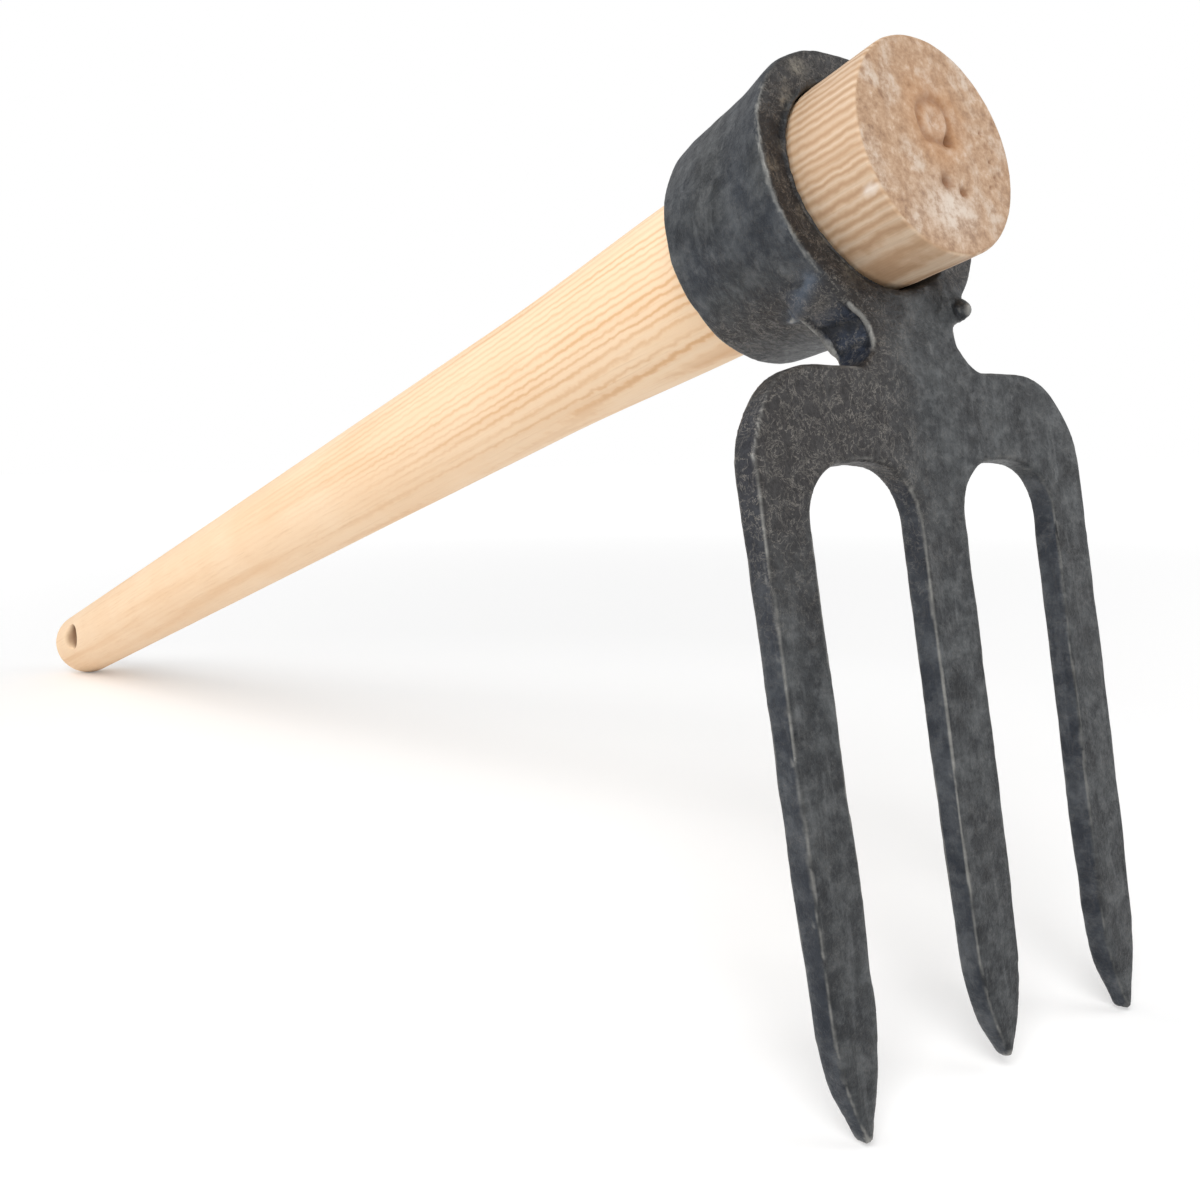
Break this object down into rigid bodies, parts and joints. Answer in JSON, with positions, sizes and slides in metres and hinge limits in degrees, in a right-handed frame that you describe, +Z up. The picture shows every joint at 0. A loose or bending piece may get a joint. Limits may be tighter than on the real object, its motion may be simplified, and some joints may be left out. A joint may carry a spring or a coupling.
{
  "type": "fork hoe",
  "caption": "Long-handled garden fork hoe: a forged steel head with flat pointed tines and a tapered eye, on a turned ash handle with a hanging hole.",
  "frame": {"origin": "centre of the bounding box's bottom face, on the floor the tool rests on: tine points at -Y and handle butt at +Y", "axes": "+Z up, +Y along the ground from the forged head to the butt of the handle, +X across the tines. The handle slopes down towards +Y because the tool rests on its two outer tine points and its butt"},
  "size_m": [0.127, 0.793, 0.2527],
  "materials": {
    "forged_head": "forged, dark scale, unpainted",
    "ash_handle": "sanded, bare"
  },
  "bodies": {
    "root": {"ash_handle": "ash_handle", "forged_head": "forged_head"}
  },
  "joints": []
}
